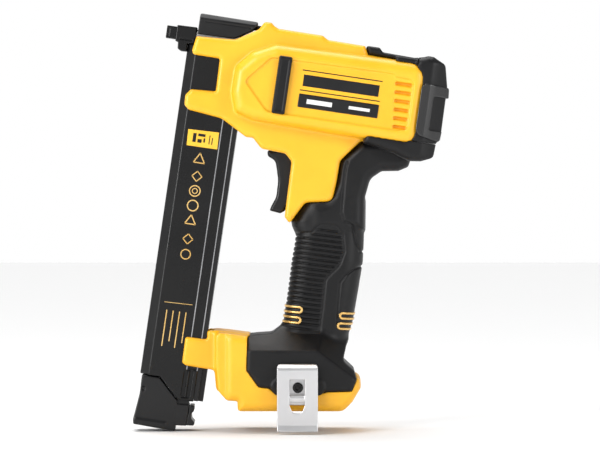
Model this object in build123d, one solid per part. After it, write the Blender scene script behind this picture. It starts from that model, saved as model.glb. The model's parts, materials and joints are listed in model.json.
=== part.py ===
from build123d import *
import math
import os

# Row frame: +Z up with the battery foot level, muzzle towards -X, hook side at -Y.
# Head frame: a runs back from the muzzle tip along the drive axis, b runs up.
HEAD_TILT = 8.3
HEAD_ORIGIN = (-95.1, 0.0, 269.1)
HEAD = Pos(*HEAD_ORIGIN) * Rot(0, HEAD_TILT, 0)

CORE_HALF = 20.0
HEAD_HALF = 35.0
GRIP_HALF = 18.0
FOOT_HALF = 37.0
WALL = 2.6
SKIN = 2.3
MAG_HALF = 15.5
PANEL_DEPTH = 1.2

LIFT = (122.0, -25.0)
LIFT_PIN_RADIUS = 14.0
PIN_STEP = 30.0
PIN_COUNT = 6
PIN_R = 1.8
MODULE = 0.8
FINAL_TEETH = 56
IDLER_SMALL_TEETH = 12
IDLER_BIG_TEETH = 38
PINION_TEETH = 10
TRAIN_ANGLE = -7.43

HOOK_SCREW = (-1.5, 16.9)
BIG = 600.0


def tooth_radius(teeth):
    return teeth * MODULE / 2


def along_train(distance):
    turn = math.radians(TRAIN_ANGLE)
    return (LIFT[0] + distance * math.cos(turn), LIFT[1] + distance * math.sin(turn))


IDLER = along_train(tooth_radius(FINAL_TEETH) + tooth_radius(IDLER_SMALL_TEETH))
MOTOR = along_train(46.4)


def hp(a, b, r=0.0):
    """Head point (a, b) with a corner radius, given in the row frame."""
    turn = math.radians(HEAD_TILT)
    x = HEAD_ORIGIN[0] + a * math.cos(turn) + b * math.sin(turn)
    z = HEAD_ORIGIN[2] - a * math.sin(turn) + b * math.cos(turn)
    return (x, z, r)


def outline(*corners):
    """Closed face in the XZ plane from (x, z, corner radius) corners."""
    points = [(x, z) for x, z, _ in corners]
    radii = [r for _, _, r in corners]
    return Plane.XZ * make_face(FilletPolyline(*points, radius=radii, close=True))


def slab(face, y_low, y_high):
    return Pos(0, y_high, 0) * extrude(face, amount=y_high - y_low, dir=(0, -1, 0))


def block(x0, x1, y0, y1, z0, z1):
    return Pos((x0 + x1) / 2, (y0 + y1) / 2, (z0 + z1) / 2) * Box(x1 - x0, y1 - y0, z1 - z0)


def pin_y(x, z, radius, y0, y1):
    """Round bar along Y."""
    return Pos(x, (y0 + y1) / 2, z) * Rot(90, 0, 0) * Cylinder(radius, y1 - y0)


def ring_y(x, z, outer, inner, y0, y1):
    return pin_y(x, z, outer, y0, y1) - pin_y(x, z, inner, y0 - 1, y1 + 1)


def rounded(face, half, radius):
    """Slab over both sides of the middle plane with its two rims rounded."""
    solid = slab(face, -half, half)
    rims = solid.edges().filter_by_position(Axis.Y, half - 0.01, half + 0.01)
    rims += solid.edges().filter_by_position(Axis.Y, -half - 0.01, -half + 0.01)
    return fillet(rims, radius)


def side(shape, sign):
    """The part of a shape on one side of the middle plane (sign -1 is the hook side)."""
    half = Pos(0, sign * BIG / 2, 0) * Box(2 * BIG, BIG, 2 * BIG)
    return shape & half


def save(node, *shapes):
    solids = []
    for shape in shapes:
        solids += shape.solids()
    whole = solids[0] if len(solids) == 1 else Compound(children=solids)
    export_step(whole, f"parts/{node}.step")


# ---------------------------------------------------------------- housing outlines
def yellow_outline():
    return outline(
        hp(21.9, -0.5, 1), hp(20.3, -10.9, 1), hp(21.6, -13.7, 1), hp(40.6, -13.9, 1),
        hp(41.1, -37.3, 1), hp(23.4, -38.3, 1), hp(20, -43, 1.5), hp(20.4, -50.1, 2),
        hp(24, -53, 2), hp(48, -55.8, 10), hp(67.1, -66.4, 3), hp(72, -66.2, 2),
        hp(79, -73, 4), hp(96.5, -73.9, 4), hp(101.6, -79, 3), (-11, 137, 1.5),
        (-7.5, 132.3, 1), (3.8, 147.4, 4), (22.8, 148, 5), (26, 162, 8),
        (28.5, 177, 6), (43.5, 191.2, 3), hp(177.2, -56, 5), hp(188, -47, 2),
        hp(184.4, -42, 1), hp(184.4, -11.5, 2), hp(187.8, -5.7, 2), hp(183, 2.6, 2),
        hp(144.5, 3.7, 1), hp(141.5, 9.8, 1), hp(112, 12.4, 8), hp(78.7, 13.1, 3),
        hp(74.6, 15.6, 2), hp(69.3, 16.8, 3), hp(65, 10.4, 2), hp(49.5, 1.0, 5))


def bulge_outline():
    return outline(
        hp(54, -50, 6), hp(53, -18, 9), hp(64, -6, 8), hp(79, 1.5, 9), hp(178, 2, 6),
        hp(184.3, -4, 3), hp(184.3, -54, 8), hp(62, -53, 8))


def neck_outline():
    return outline(
        (8, 128, 0), (45.7, 128, 0), (46, 150, 10), (50, 164, 8), (58, 169.6, 6),
        (74, 170.4, 4), (83, 182, 4), (80.5, 191.2, 2), (43.5, 191.2, 3), (28.5, 177, 6),
        (26, 162, 8), (20, 148, 5), (8, 146, 0))


# height, front x, back x, half width of the grip
GRIP_SECTIONS = ((46, -15.0, 32.5, 17.0), (64, -11.7, 38.0, 17.5), (84, -8.8, 41.5, 18.0),
                 (105, -6.2, 44.9, 18.0), (126, -3.0, 45.7, 17.6), (148, 0.0, 46.0, 17.0))
GRIP_CORNER = 14.0


def foot_skin_outline():
    return outline(
        (-37.6, 53.2, 3), (-38.1, 28.6, 2), (-29.5, 16.6, 2), (-22.2, 15.8, 1),
        (-17.9, 12.3, 1), (13.1, 11.4, 2), (19.1, 13.1, 1), (36.8, 13.6, 2),
        (40.2, 22, 3), (38.6, 28, 3), (30.6, 35.5, 3), (34.2, 50, 3), (31, 57.5, 3),
        (-12.5, 60.5, 3), (-20, 54.4, 4))


def foot_outline():
    return outline(
        (-66, 56.6, 1), (-66, 49.8, 1), (-81.5, 51.9, 1), (-83.9, 33.2, 2),
        (-81, 31.3, 1), (-60.5, 28, 2), (-59.1, 15, 4), (-52, 7.6, 3), (-44.1, 7, 1),
        (-43.7, 0, 1), (30.3, 0, 4), (36.4, 6.2, 4), (42.2, 16, 4), (41.9, 22, 3),
        (36, 26, 2), (28.5, 34, 2), (29, 50, 3), (-20, 51.5, 2), (-38, 52.8, 4))


# ---------------------------------------------------------------- housing shells
def spine(y_half, top):
    """Roof over the gas spring, under the dark top strip."""
    return HEAD * block(143, 185.5, -y_half, y_half, -2, top)


def panel_recess():
    """Shallow pointed recess in each flank of the head, behind the plates and louvres."""
    face = outline(hp(61.5, -27, 2), hp(77, -8.5, 4), hp(176.9, -8.5, 4), hp(176.9, -44.5, 4),
                   hp(79, -45, 4))
    left = slab(face, -HEAD_HALF - 1, -HEAD_HALF + PANEL_DEPTH)
    return left + slab(face, HEAD_HALF - PANEL_DEPTH, HEAD_HALF + 1)


def yellow_solid():
    core = slab(yellow_outline(), -CORE_HALF, CORE_HALF)
    bulge = rounded(bulge_outline(), HEAD_HALF, 7) - panel_recess()
    return core + bulge + spine(13.5, 5.9)


def grip_tube(inset):
    sections = []
    for z, front, back, half in GRIP_SECTIONS:
        deep = back - front - 2 * inset
        wide = 2 * (half - inset)
        sections.append(Pos((front + back) / 2, 0, z) * RectangleRounded(deep, wide, GRIP_CORNER - inset))
    return loft(sections)


def grip_core(inset):
    face = offset(neck_outline(), -inset, kind=Kind.INTERSECTION)
    neck = slab(face, -GRIP_HALF + inset, GRIP_HALF - inset)
    return grip_tube(inset) + neck


def foot_core():
    foot = slab(foot_outline(), -FOOT_HALF, FOOT_HALF)
    arm_cut = block(-100, -61, 19.6, 60, 20, 70) + block(-100, -61, -60, -19.6, 20, 70)
    foot = foot - arm_cut
    return foot - block(-70, -59.5, 16.5, 40, 25, 60) - block(-70, -59.5, -40, -16.5, 25, 60)


def head_cavity():
    inner = slab(offset(yellow_outline(), -WALL, kind=Kind.INTERSECTION), -17.4, 17.4)
    room = rounded(offset(bulge_outline(), -WALL - 0.4, kind=Kind.INTERSECTION), HEAD_HALF - 3.2, 5)
    return inner + room + HEAD * block(134, 181, -8, 8, -2, 4.9)


def magazine_room():
    """Space taken through the shells by the magazine, guide and nose parts."""
    head_part = HEAD * block(0, 61.2, -15.7, 15.7, -70, 20)
    lower_part = HEAD * block(10, 61.2, -15.7, 15.7, -290, -60)
    cover_swing = HEAD * block(15, 67.6, -15.7, 15.7, 0.6, 20)
    heel = HEAD * block(55, 64.2, -9.4, 9.4, -290, -200)
    return head_part + lower_part + cover_swing + heel


def battery_room():
    """Recess in the underside that takes the battery's rails, open at the front."""
    recess = block(-75, 20, -30, 30, -1, 13)
    plug_room = block(4, 20, -15, 15, 12, 16)
    return recess + block(-75, -55, -30, 30, -1, 24) + plug_room


def foot_cavity():
    return block(-56, 34, -34, 34, 15.5, 27) + block(-50, 26, -34, 34, 15.5, 47.5)


def grip_cavity():
    return grip_core(SKIN + WALL)


def trigger_slot():
    return block(-30, -4, -7.6, 7.6, 138.2, 189) + block(-5, 0, -7.6, 7.6, 153, 189)


def wire_rooms():
    """Passages that take the wires from the grip to the switch and to the motor."""
    return block(18.2, 34, -10, 10, 140, 159) + block(38, 58, -10, 10, 180, 200)


def louvre_slots():
    slots = []
    for index in range(6):
        b = -11.5 - 6.1 * index
        slots.append(HEAD * block(166.6, 176.7, -40, 40, b - 2.6, b))
    return slots


SCREW_SPOTS = (hp(84, -66), hp(150, -49.5), hp(181.7, -3), (14, 138, 0), (10, 92, 0),
               (-48, 38, 0), (24, 42, 0))
SCREW_FACE = 12.0
BOSS_R = 3.6
SCREW_R = 1.4


def bosses(reach):
    parts = []
    for x, z, _ in SCREW_SPOTS:
        parts.append(pin_y(x, z, BOSS_R, -reach, reach))
    return parts


def screw_passages():
    parts = []
    for x, z, _ in SCREW_SPOTS:
        parts.append(pin_y(x, z, SCREW_R, -11, 20))
        parts.append(pin_y(x, z, 2.9, SCREW_FACE, 40))
    return parts


def hook_holes():
    x, z = HOOK_SCREW
    return pin_y(x, z, 3.4, -FOOT_HALF - 3, -FOOT_HALF + 2.4) + pin_y(x, z, 3.4, FOOT_HALF - 2.4, FOOT_HALF + 3)


def housing_halves():
    outer = yellow_solid() + grip_core(SKIN) + foot_core()
    hollow = head_cavity() + grip_cavity() + foot_cavity()
    body = outer - hollow
    posts = [post & outer for post in bosses(CORE_HALF)]
    for post in posts:
        body = body + post
    body = body - magazine_room() - battery_room() - trigger_slot() - hook_holes()
    body = body - insert_room() - wire_rooms()
    for tool in louvre_slots() + screw_passages():
        body = body - tool
    return body


def insert_room():
    x, z = HOOK_SCREW
    return pin_y(x, z, 3.4, -FOOT_HALF - 1, -FOOT_HALF + 8) + pin_y(x, z, 3.4, FOOT_HALF - 8, FOOT_HALF + 1)


def insert_seats():
    """Walls in the foot that hold the two threaded inserts."""
    x, z = HOOK_SCREW
    seat = block(x - 6, x + 6, -FOOT_HALF + 0.5, -FOOT_HALF + 9, 12, 22)
    return seat + block(x - 6, x + 6, FOOT_HALF - 9, FOOT_HALF - 0.5, 12, 22)


# ---------------------------------------------------------------- overmoulds and trims
def overmould():
    grip = grip_core(0) - grip_core(SKIN)
    foot = slab(foot_skin_outline(), -FOOT_HALF - 1.6, FOOT_HALF + 1.6)
    skin = (grip - foot) + (foot - foot_core() - grip_core(SKIN))
    skin = skin - yellow_solid() - hook_holes() - foot_cavity() - wire_rooms()
    for band in band_rooms():
        skin = skin - band
    for tool in screw_passages():
        skin = skin - tool
    return skin


BANDS = (((-16, 72.3), (1.8, 71.0)), ((-16, 64.3), (0.6, 62.6)),
         ((27.0, 66.4), (46, 64.7)), ((25.4, 58.6), (44, 57.1)))


def band_rooms():
    """Grooves round the base of the grip that take the four coloured bands."""
    hull = grip_core(0) - grip_core(1.2)
    rooms = []
    for (x0, z0), (x1, z1) in BANDS:
        face = outline((x0, z0 - 1.5, 0), (x1, z1 - 1.5, 0), (x1, z1 + 1.5, 0), (x0, z0 + 1.5, 0))
        rooms.append(hull & slab(face, -GRIP_HALF - 1, GRIP_HALF + 1))
    return rooms


def top_strip():
    face = outline(
        hp(145, 4.0, 1), hp(142, 9.8, 1), hp(151.8, 10, 1), hp(154.4, 7.2, 1),
        hp(180.7, 6.3, 2), hp(186.7, 8.8, 1), hp(190.5, 8.6, 1), hp(190.2, -4.6, 1),
        hp(188.2, -5.2, 0.4), hp(183.4, 3.0, 1.6))
    return slab(face, -19, 19) - spine(13.5, 5.9)


def side_bumper(sign):
    seat = HEAD_HALF - PANEL_DEPTH + 0.02
    y0, y1 = sorted((sign * seat, sign * (HEAD_HALF + 2.2)))
    bar = block(82.4, 91.8, y0, y1, -44.9, -8.7)
    return HEAD * fillet(bar.edges().filter_by(Axis.Y), 2)


def nameplate(sign):
    seat = HEAD_HALF - PANEL_DEPTH + 0.02
    y0, y1 = sorted((sign * seat, sign * (seat + 0.8)))
    bar = block(100, 157, y0, y1, -39.9, -30.3)
    return HEAD * fillet(bar.edges().filter_by(Axis.Y), 1)


def rear_guard():
    face = outline(
        hp(190.4, -4.8, 0.5), hp(190.4, 8.9, 1), hp(200, 4.6, 3), hp(203.4, -11, 2),
        hp(204.2, -48.6, 2), hp(201.4, -51, 1), hp(200.6, -61.8, 3), hp(191.8, -65.4, 2),
        hp(188.2, -60, 1), hp(188.3, -48, 1), hp(184.6, -43, 0.5), hp(184.6, -11, 0.5),
        hp(188.4, -5.5, 0.5))
    shape = slab(face, -33, 33)
    rims = shape.edges().filter_by_position(Axis.Y, 32.9, 33.1)
    rims += shape.edges().filter_by_position(Axis.Y, -33.1, -32.9)
    shape = chamfer(rims, 0.4)
    inside = HEAD * block(184, 200.4, -29, 29, -58, -8)
    windows = HEAD * block(195, 199.8, -40, 40, -42, -19)
    vents = [HEAD * block(199, 206, y - 2, y + 2, -42, -14) for y in (-20, -12, -4, 4, 12, 20)]
    shape = shape - inside - windows
    for vent in vents:
        shape = shape - vent
    return shape - top_strip() - grip_core(0) - yellow_solid()


def neck_seal():
    """Dark strip closing the gap between the head's lower rear edge and the neck."""
    face = outline(hp(149.5, -57.4, 0.3), hp(177, -56.3, 2), hp(186, -50.5, 1),
                   hp(188.0, -60, 1), hp(191, -65.6, 1), hp(184.6, -66.8, 1), hp(181, -60.5, 2))
    return slab(face, -24, 24) - grip_core(0) - yellow_solid()


# ---------------------------------------------------------------- nose
def nose_cover():
    face = outline((22.3, 1.2, 0.5), (22.3, 16.2, 1.5), (64.2, 15.7, 0.8), (62.6, 11.9, 1),
                   (60.6, 9.0, 2), (48.8, 1.6, 3))
    shell = slab(face, -13.5, 13.5)
    rims = shell.edges().filter_by_position(Axis.Y, 13.4, 13.6)
    rims += shell.edges().filter_by_position(Axis.Y, -13.6, -13.4)
    shell = chamfer(rims, 0.45)
    shell = shell - block(20, 61, -10, 10, 0, 6.4)
    ears = pin_y(71, 11, 3.2, -6, 6) + block(60, 71, -6, 6, 9.8, 13.4)
    shell = shell + ears
    return HEAD * (shell - pin_y(71, 11, 1.55, -20, 20))


def hinge_pin():
    return HEAD * pin_y(71, 11, 1.5, -14, 14)


def hinge_room():
    lane = block(55, 71, -6.5, 6.5, 6.0, 18) + block(71, 73.4, -6.5, 6.5, 11, 18)
    return HEAD * (pin_y(71, 11, 3.7, -6.5, 6.5) + lane)


def nose_block():
    face = outline((7.2, -5.9, 0.4), (9.2, -6.2, 0.4), (9.6, -11, 1), (12, -12.4, 1),
                   (16.2, -12.2, 0.4), (16.2, -6.3, 0.4), (21.4, -6.2, 0.4), (21.4, 5.9, 0.4),
                   (7.2, 5.6, 0.4))
    body = slab(face, -11, 11)
    bore = block(5, 21, -9.0, 9.0, -5.0, 4.8)
    return HEAD * (body - bore - block(20, 23, -8.5, 8.5, -2.2, 4.8))


def contact_trip():
    ring = block(0, 15, -8.6, 8.6, -4.6, 4.4)
    ring = chamfer(ring.edges().filter_by_position(Axis.X, -0.01, 0.01), 0.4)
    ring = ring - block(-1, 16, -7.2, 7.2, -1.6, 2.0)
    arm = block(13, 64, -3.5, 3.5, 3.3, 4.3)
    return HEAD * (ring + arm)


def trip_spring():
    coil = spring_along_a(64.6, 69.8, 1.2, 0.25, 5)
    return HEAD * (Pos(0, 0, 4.4) * coil)


def driver_guide():
    top = block(21.6, 70, -8, 8, 0.95, 2.6)
    bottom = block(40, 70, -8, 8, -2.8, -0.95)
    sides = block(40, 70, 5.2, 8, -1, 1) + block(40, 70, -8, -5.2, -1, 1)
    return HEAD * (top + bottom + sides)


def bumper():
    return HEAD * (block(70.2, 77.4, -8, 8, -8, 7.2) - block(69, 79, -5.2, 5.2, -0.95, 0.95)
                   - Pos(72.7, 0, 4.4) * Rot(0, 90, 0) * Cylinder(1.9, 5.4))


# ---------------------------------------------------------------- magazine
def mag_profile(a_front, a_back, half, corner):
    """Magazine cross-section in the (a, Y) plane with two chamfered front corners."""
    pts = [(a_front, -half + corner), (a_front, half - corner), (a_front + corner, half),
           (a_back, half), (a_back, -half), (a_front + corner, -half)]
    return make_face(Polyline(*pts, close=True))


def magazine_channel():
    outer = Pos(0, 0, -262) * extrude(mag_profile(16.5, 57, MAG_HALF, 6.5), amount=255.6)
    inner = Pos(0, 0, -263) * extrude(mag_profile(18.2, 60, MAG_HALF - 1.7, 5.9), amount=258)
    shell = outer - inner
    cut = outline((10, -243.8, 0), (30.8, -243.8, 0), (46.2, -258.9, 0), (47, -258, 0),
                  (70, -258, 0), (70, -270, 0), (10, -270, 0))
    window = block(47.6, 53.9, -20, -13, -256, -236.8) + block(47.6, 53.9, 13, 20, -256, -236.8)
    return HEAD * (shell - slab(cut, -30, 30) - window)


def magazine_back():
    back = block(57.05, 60, -15, 15, -257.5, -7)
    heel = block(59.8, 63.6, -9, 9, -257.5, -226)
    return HEAD * (back + heel)


def edge_trims():
    strips = []
    for sign in (-1, 1):
        for a in (48.7, 56.2):
            y0, y1 = sorted((sign * (MAG_HALF + 0.01), sign * (MAG_HALF + 0.16)))
            strips.append(HEAD * block(a, a + 0.7, y0, y1, -236, -54))
    return strips


def staple_bar():
    return HEAD * block(20, 35, -4.5, 4.5, -252, -8)


def magazine_tray():
    base = block(52, 54, -13.2, 13.2, -251, -9)
    walls = block(38, 54, 12, 13.2, -251, -9) + block(38, 54, -13.2, -12, -251, -9)
    return HEAD * (base + walls)


def end_cap():
    face = outline((18, -244.3, 0.5), (30.6, -244.3, 0.5), (45.6, -259.2, 0.5), (46.8, -277, 0.5),
                   (47, -281, 1), (16.8, -280.1, 1), (16.2, -276.5, 2), (18.3, -258, 8))
    cap = slab(face, -15, 15)
    plug = block(20, 30, -8, 8, -252, -243)
    bridge = block(30, 54, -11.2, 11.2, -264, -259.6)
    bridge += block(44, 54, -11.2, 11.2, -268, -251.3)
    room = block(19, 36, -4.5, 4.5, -252, -240)
    return HEAD * (cap + plug + bridge - room)


def magazine_latch():
    face = outline((47.6, -269.2, 0.5), (54.6, -269.2, 0.5), (54.6, -262, 0.5), (57.6, -259, 0.5),
                   (57.6, -267.2, 1), (59.5, -270.9, 1), (58.6, -273.6, 1), (47.9, -275.9, 1))
    lever = slab(face, -11, 11) + pin_y(51, -272, 2.6, -11, 11)
    return HEAD * (lever - pin_y(51, -272, 1.3, -12, 12))


def latch_pin():
    cheeks = block(46, 53, 11.4, 14, -276, -262) + block(46, 53, -14, -11.4, -276, -262)
    return HEAD * pin_y(51, -272, 1.25, -13.9, 13.9), HEAD * (cheeks - pin_y(51, -272, 1.25, -15, 15))


def release_rods():
    return [HEAD * Pos(50.8, y, -246.4) * Cylinder(0.85, 18.8) for y in (-14.55, 14.55)]


def pusher():
    carrier = block(36, 50.6, -11.5, 11.5, -34, -14)
    carrier = carrier - block(37.5, 51, -9.5, 9.5, -35, -18)
    fingers = block(21, 37, 4.9, 8.5, -34, -14) + block(21, 37, -8.5, -4.9, -34, -14)
    arms = block(37.5, 46.5, 7, 9.6, -45, -33) + block(37.5, 46.5, -9.6, -7, -45, -33)
    axle = pin_y(42, -41, 1.5, -9, 9)
    return HEAD * (carrier + fingers + arms + axle)


def roll_spring():
    return HEAD * (ring_y(42, -41, 6, 1.55, -6, 6))


def spring_ribbon():
    return HEAD * block(51.6, 51.9, -6, 6, -48, -10)


def sticker():
    return HEAD * block(25.5, 47.8, -MAG_HALF - 0.16, -MAG_HALF - 0.01, -78.1, -66.2)


# ---------------------------------------------------------------- trigger group
def trigger():
    face = outline((-23.4, 184.4, 2), (-23, 180, 3), (-17.5, 177, 8), (-15.6, 163, 20),
                   (-17, 151, 10), (-20.5, 144.5, 4), (-21.8, 141.5, 1), (-14, 139.3, 1),
                   (-11, 141, 1), (-5.2, 150, 2), (-3.2, 170, 2), (-6, 185, 2))
    blade = slab(face, -7.1, 7.1)
    rims = blade.edges().filter_by_position(Axis.Y, 7.0, 7.2)
    rims += blade.edges().filter_by_position(Axis.Y, -7.2, -7.0)
    return chamfer(rims, 0.6)


def trigger_spring():
    coil = Helix(pitch=1.5, height=10.2, radius=2.2, center=(-2.3, 0, 176), direction=(1, 0, 0))
    return tube(coil, 0.35)


def switch_body():
    box = block(8.6, 19.8, -8, 8, 155, 182)
    plunger_bore = Pos(11.6, 0, 162) * Rot(0, 90, 0) * Cylinder(2.6, 7.2)
    spring_bore = Pos(12, 0, 176) * Rot(0, 90, 0) * Cylinder(3.1, 7.2)
    return box - plunger_bore - spring_bore


def switch_plunger():
    return Pos(2.5, 0, 162) * Rot(0, 90, 0) * Cylinder(2.2, 11.6)


# ---------------------------------------------------------------- drive parts
def tube(path, radius):
    start = Plane(origin=path @ 0, z_dir=path % 0)
    return sweep(start * Circle(radius), path=path)


def spring_along_a(a0, a1, radius, wire, turns):
    path = Helix(pitch=(a1 - a0) / turns, height=a1 - a0, radius=radius,
                 center=(a0, 0, 0), direction=(1, 0, 0))
    return tube(path, wire)


def driver_carriage():
    body = block(78.2, 90, -5, 5, -13, 8) + block(84, 90, -8.2, 8.2, -7, 7.8)
    rack = block(90, 126, -5, 5, -13, -7.8)
    shape = body + rack - block(77, 84, -5.1, 5.1, -0.6, 0.6)
    for index in range(PIN_COUNT):
        a = LIFT[0] - index * LIFT_PIN_RADIUS * math.radians(PIN_STEP)
        shape = shape - pin_y(a, -11, 2.4, -6, 6) - block(a - 2.4, a + 2.4, -6, 6, -14, -11)
    return HEAD * (shape + piston_rod())


def driver_blade():
    return HEAD * block(4, 83.9, -4.9, 4.9, -0.6, 0.6)


def piston_rod():
    rod = Pos(109.9, 0, -1) * Rot(0, 90, 0) * Cylinder(2, 40)
    return rod + Pos(131.9, 0, -1) * Rot(0, 90, 0) * Cylinder(4.36, 4)


def gas_cylinder():
    """Sealed gas spring behind the carriage: bore, gland hole and closed rear end."""
    shell = Pos(149.2, 0, -1) * Rot(0, 90, 0) * Cylinder(5.4, 49.6)
    bore = Pos(150, 0, -1) * Rot(0, 90, 0) * Cylinder(4.4, 44.8)
    gland = Pos(126, 0, -1) * Rot(0, 90, 0) * Cylinder(2.04, 8)
    return HEAD * (shell - bore - gland)


def gear(teeth, y0, y1, phase):
    """Spur gear about the Y axis; a tooth stands at angle phase from the a axis."""
    pitch_r = tooth_radius(teeth)
    half_pitch = MODULE * math.pi / 4 - 0.12
    flank = math.tan(math.radians(20))
    rows = ((pitch_r - 1.2 * MODULE, half_pitch + 1.2 * MODULE * flank),
            (pitch_r + 0.8 * MODULE, half_pitch - 0.8 * MODULE * flank))
    points = []
    for index in range(teeth):
        centre = math.radians(phase + 360 * index / teeth)
        spots = ((rows[0][0], -rows[0][1]), (rows[1][0], -rows[1][1]),
                 (rows[1][0], rows[1][1]), (rows[0][0], rows[0][1]))
        for radius, shift in spots:
            angle = centre + shift / radius
            points.append((radius * math.cos(angle), radius * math.sin(angle)))
    face = Plane.XZ * make_face(Polyline(*points, close=True))
    return slab(face, y0, y1)


def lift_wheel():
    a, b = LIFT
    discs = pin_y(a, b, 16.5, -9, -6) + pin_y(a, b, 16.5, 6, 9)
    hub = pin_y(a, b, 6, -9.5, 9.5) - pin_y(a, b, 3, -10, 10)
    pins = []
    for index in range(PIN_COUNT):
        turn = math.radians(90 + index * PIN_STEP)
        x = a + LIFT_PIN_RADIUS * math.cos(turn)
        z = b + LIFT_PIN_RADIUS * math.sin(turn)
        pins.append(pin_y(x, z, PIN_R, -6.1, 6.1))
    wheel = discs - pin_y(a, b, 3, -20, 20) + hub
    for pin in pins:
        wheel = wheel + pin
    return HEAD * wheel


def lift_shaft():
    return HEAD * pin_y(LIFT[0], LIFT[1], 3, -19.5, 14)


def final_gear():
    phase = TRAIN_ANGLE + 180 / FINAL_TEETH
    wheel = Pos(LIFT[0], 0, LIFT[1]) * gear(FINAL_TEETH, -18, -14, phase)
    return HEAD * (wheel - pin_y(LIFT[0], LIFT[1], 3, -20, -12))


def idler_gears():
    big = gear(IDLER_BIG_TEETH, -24, -20, TRAIN_ANGLE)
    small = gear(IDLER_SMALL_TEETH, -20, -14, TRAIN_ANGLE + 180)
    pair = Pos(IDLER[0], 0, IDLER[1]) * (big + small)
    return HEAD * (pair - pin_y(IDLER[0], IDLER[1], 2, -30, -10))


def idler_shaft():
    return HEAD * pin_y(IDLER[0], IDLER[1], 2, -28.5, -9.8)


def motor_pinion():
    wheel = Pos(MOTOR[0], 0, MOTOR[1]) * gear(PINION_TEETH, -24.2, -19.8, TRAIN_ANGLE + 180 + 180 / PINION_TEETH)
    return HEAD * (wheel - pin_y(MOTOR[0], MOTOR[1], 1.5, -30, -10))


def rotor_shaft():
    return HEAD * pin_y(MOTOR[0], MOTOR[1], 1.5, -24.4, 30.5)


def motor_rotor():
    return HEAD * ring_y(MOTOR[0], MOTOR[1], 6.9, 1.5, -5, 20)


def motor_can():
    a, b = MOTOR
    shell = ring_y(a, b, 13.2, 12.2, -9.9, 25.5)
    ends = ring_y(a, b, 12.2, 3.6, -9.9, -8.4) + ring_y(a, b, 12.2, 3.6, 24.0, 25.5)
    return HEAD * (shell + ends)


def motor_stator():
    a, b = MOTOR
    core = ring_y(a, b, 12.2, 10.2, -6, 21)
    for index in range(6):
        tooth = Pos(a, 7.5, b) * Rot(0, 60 * index, 0) * Pos(9.0, 0, 0) * Box(3.2, 27, 4.4)
        core = core + tooth
    return HEAD * core


def motor_fan():
    a, b = MOTOR
    fan = pin_y(a, b, 4, 26.2, 31) + pin_y(a, b, 11.6, 26.2, 27.2)
    for index in range(9):
        fan = fan + Pos(a, 28.9, b) * Rot(0, 40 * index, 0) * Pos(7.4, 0, 0) * Box(8, 3.6, 1)
    return HEAD * (fan - pin_y(a, b, 1.5, 20, 32))


def bearings():
    spots = ((LIFT, 6, 3.04, -12, -10), (LIFT, 6, 3.04, 10, 12), (IDLER, 4, 2.04, -12, -10),
             (IDLER, 4, 2.04, -28, -26), (MOTOR, 3.6, 1.54, -9.9, -8.4), (MOTOR, 3.6, 1.54, 24, 25.5))
    return [HEAD * ring_y(a, b, outer, inner, y0, y1) for (a, b), outer, inner, y0, y1 in spots]


def frame_face():
    return outline((84, -49, 4), (84, 4, 3), (90, 6.5, 3), (138, 6.5, 2), (143, 0.5, 2),
                   (177.2, 0.5, 1), (177.2, -44, 2), (146, -44.4, 2), (138, -49, 3))


def gear_frame():
    left = slab(frame_face(), -12, -10)
    right = slab(frame_face(), 10, 12) - pin_y(MOTOR[0], MOTOR[1], 13.2, 0, 40)
    seat = block(174.4, 177, -10, 10, -7, 0.4)
    foot = block(84, 88, -10, 10, -49, -46)
    for (a, b), radius in ((LIFT, 6), (IDLER, 4)):
        left = left - pin_y(a, b, radius, -20, 0)
    left = left - pin_y(MOTOR[0], MOTOR[1], 3.6, -20, 0)
    right = right - pin_y(LIFT[0], LIFT[1], 6, 0, 20)
    return HEAD * (left + right + seat + foot)


def gear_cover():
    """Outer plate of the gear train with the posts that hold it to the frame."""
    plate = block(140, 178, -28, -26, -47, -8)
    posts = pin_y(175.2, -10.6, 2.4, -26, -12) + pin_y(172, -41.6, 1.8, -26, -12)
    plate = plate - pin_y(IDLER[0], IDLER[1], 4, -30, -20)
    return HEAD * (plate + posts)


# ---------------------------------------------------------------- foot parts
def hook_plate():
    """Bent strip: fixed leaf, return bend at the top, outer leaf and kicked-out lip."""
    t = 1.5
    y_in = -FOOT_HALF - 1.65 - t
    y_out = y_in - 7
    pts = [(y_in, 6), (y_in, 31.4), (y_in - 2.4, 33.8), (y_out + 2.4, 33.8), (y_out, 31.4),
           (y_out, -8), (y_out - 0.8, -12.3), (y_out - 0.8 - t, -12.0), (y_out - t, -7.8),
           (y_out - t, 32.0), (y_out + 1.8, 35.3), (y_in - 1.8, 35.3), (y_in + t, 32.0),
           (y_in + t, 6)]
    strip = extrude(Plane.YZ * make_face(Polyline(*pts, close=True)), amount=14.4, both=True)
    return Pos(-1.8, 0, -1.5) * strip


def belt_hook():
    x, z = HOOK_SCREW
    strip = hook_plate()
    slot = pin_y(-2, 4.7, 5.4, -60, -42) + block(-7.4, 3.4, -60, -42, 4.7, 23)
    return strip - slot - pin_y(x, z, 2.2, -60, -30)


def hook_screw():
    x, z = HOOK_SCREW
    top = -FOOT_HALF - 3.15
    head = pin_y(x, z, 3.9, top - 2.6, top)
    head = head - (Pos(x, top - 2.2, z) * Rot(90, 0, 0) * extrude(RegularPolygon(2, 6), amount=1.2, both=True))
    return head + pin_y(x, z, 1.6, top - 1, -FOOT_HALF + 7)


def hook_inserts():
    x, z = HOOK_SCREW
    left = ring_y(x, z, 3.4, 1.62, -FOOT_HALF + 0.2, -FOOT_HALF + 8)
    right = ring_y(x, z, 3.4, 1.62, FOOT_HALF - 8, FOOT_HALF + 1.0)
    return left, right


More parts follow.
